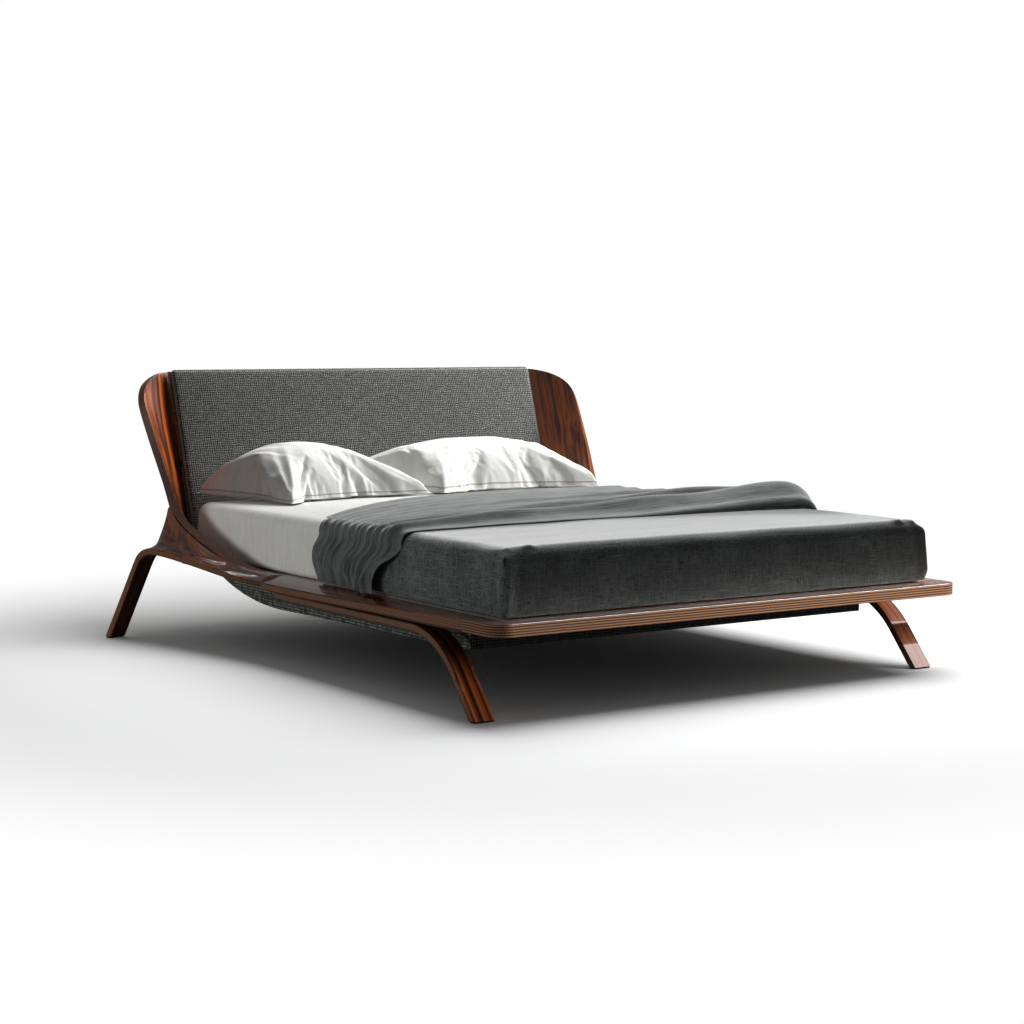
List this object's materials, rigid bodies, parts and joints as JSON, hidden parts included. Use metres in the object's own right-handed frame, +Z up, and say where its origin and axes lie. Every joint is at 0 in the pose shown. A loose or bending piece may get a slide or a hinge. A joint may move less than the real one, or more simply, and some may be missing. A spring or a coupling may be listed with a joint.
{
  "type": "sleigh bed",
  "caption": "Low sleigh bed in moulded plywood: thin platform flaring into rear legs and a winged shell around a hung upholstered headboard, bent front legs, made-up mattress and pillows.",
  "frame": {"origin": "on the floor, below the middle of the bed's overall length and width", "axes": "+X across the bed to the right of somebody standing at the foot, +Y from the foot to the headboard, +Z up"},
  "size_m": [2.168, 2.3662, 0.94],
  "materials": {
    "walnut_ply": "lacquered moulded plywood with striped edges",
    "dark_wood": "dark stained wood",
    "beech": "plain planed beech",
    "steel": "zinc-plated steel",
    "black_plastic": "matte black",
    "black_rubber": "matte black",
    "tweed": "dark grey woven tweed",
    "piping": "light grey piping",
    "white_linen": "white washed linen",
    "charcoal_cover": "charcoal woven cotton",
    "grey_throw": "mid grey soft wool"
  },
  "bodies": {
    "frame": {"platform_foot": "walnut_ply", "platform_infill": "walnut_ply", "platform_side_left": "walnut_ply", "platform_side_right": "walnut_ply", "platform_head": "walnut_ply", "wing_left": "walnut_ply", "wing_right": "walnut_ply", "back_panel": "walnut_ply", "front_leg_left": "walnut_ply", "front_leg_right": "walnut_ply", "front_glides": "black_plastic", "rear_glides": "black_plastic", "knee_block_left": "dark_wood", "knee_block_right": "dark_wood", "box_side_left": "dark_wood", "box_side_right": "dark_wood", "box_foot": "dark_wood", "box_bottom": "dark_wood", "box_cover": "tweed", "rear_rail": "dark_wood", "centre_beam": "beech", "ledger_left": "beech", "ledger_right": "beech", "slats_left": "beech", "slats_right": "beech", "side_slat_holders": "black_plastic", "centre_slat_holders": "black_plastic", "rail_blocks": "dark_wood", "rail_bolts": "steel", "rail_inserts": "steel", "ledger_screws": "steel", "corner_blocks": "beech", "beam_hangers": "steel", "back_brackets": "steel", "bracket_screws": "steel", "panel_cleats": "beech"},
    "headboard_pad": {"pad_cushion": "tweed", "pad_board": "beech", "pad_piping": "piping", "pad_cleats": "beech", "pad_side_clips": "black_rubber"},
    "bedding": {"mattress": "white_linen", "fitted_sheet": "white_linen", "coverlet": "charcoal_cover", "throw": "grey_throw"},
    "pillow_left": {"pillow_left": "white_linen"},
    "pillow_right": {"pillow_right": "white_linen"}
  },
  "joints": [
    {"name": "headboard_pad_lift", "type": "slide", "parent": "frame", "child": "headboard_pad", "axis": [0, 0.2957, 0.9553], "range_m": [0, 0.04]},
    {"name": "bedding_lift", "type": "slide", "parent": "frame", "child": "bedding", "axis": [0, 0, 1], "range_m": [0, 0.35]},
    {"name": "pillow_left_lift", "type": "slide", "parent": "bedding", "child": "pillow_left", "axis": [0, 0, 1], "range_m": [0, 0.25]},
    {"name": "pillow_right_lift", "type": "slide", "parent": "bedding", "child": "pillow_right", "axis": [0, 0, 1], "range_m": [0, 0.25]}
  ]
}
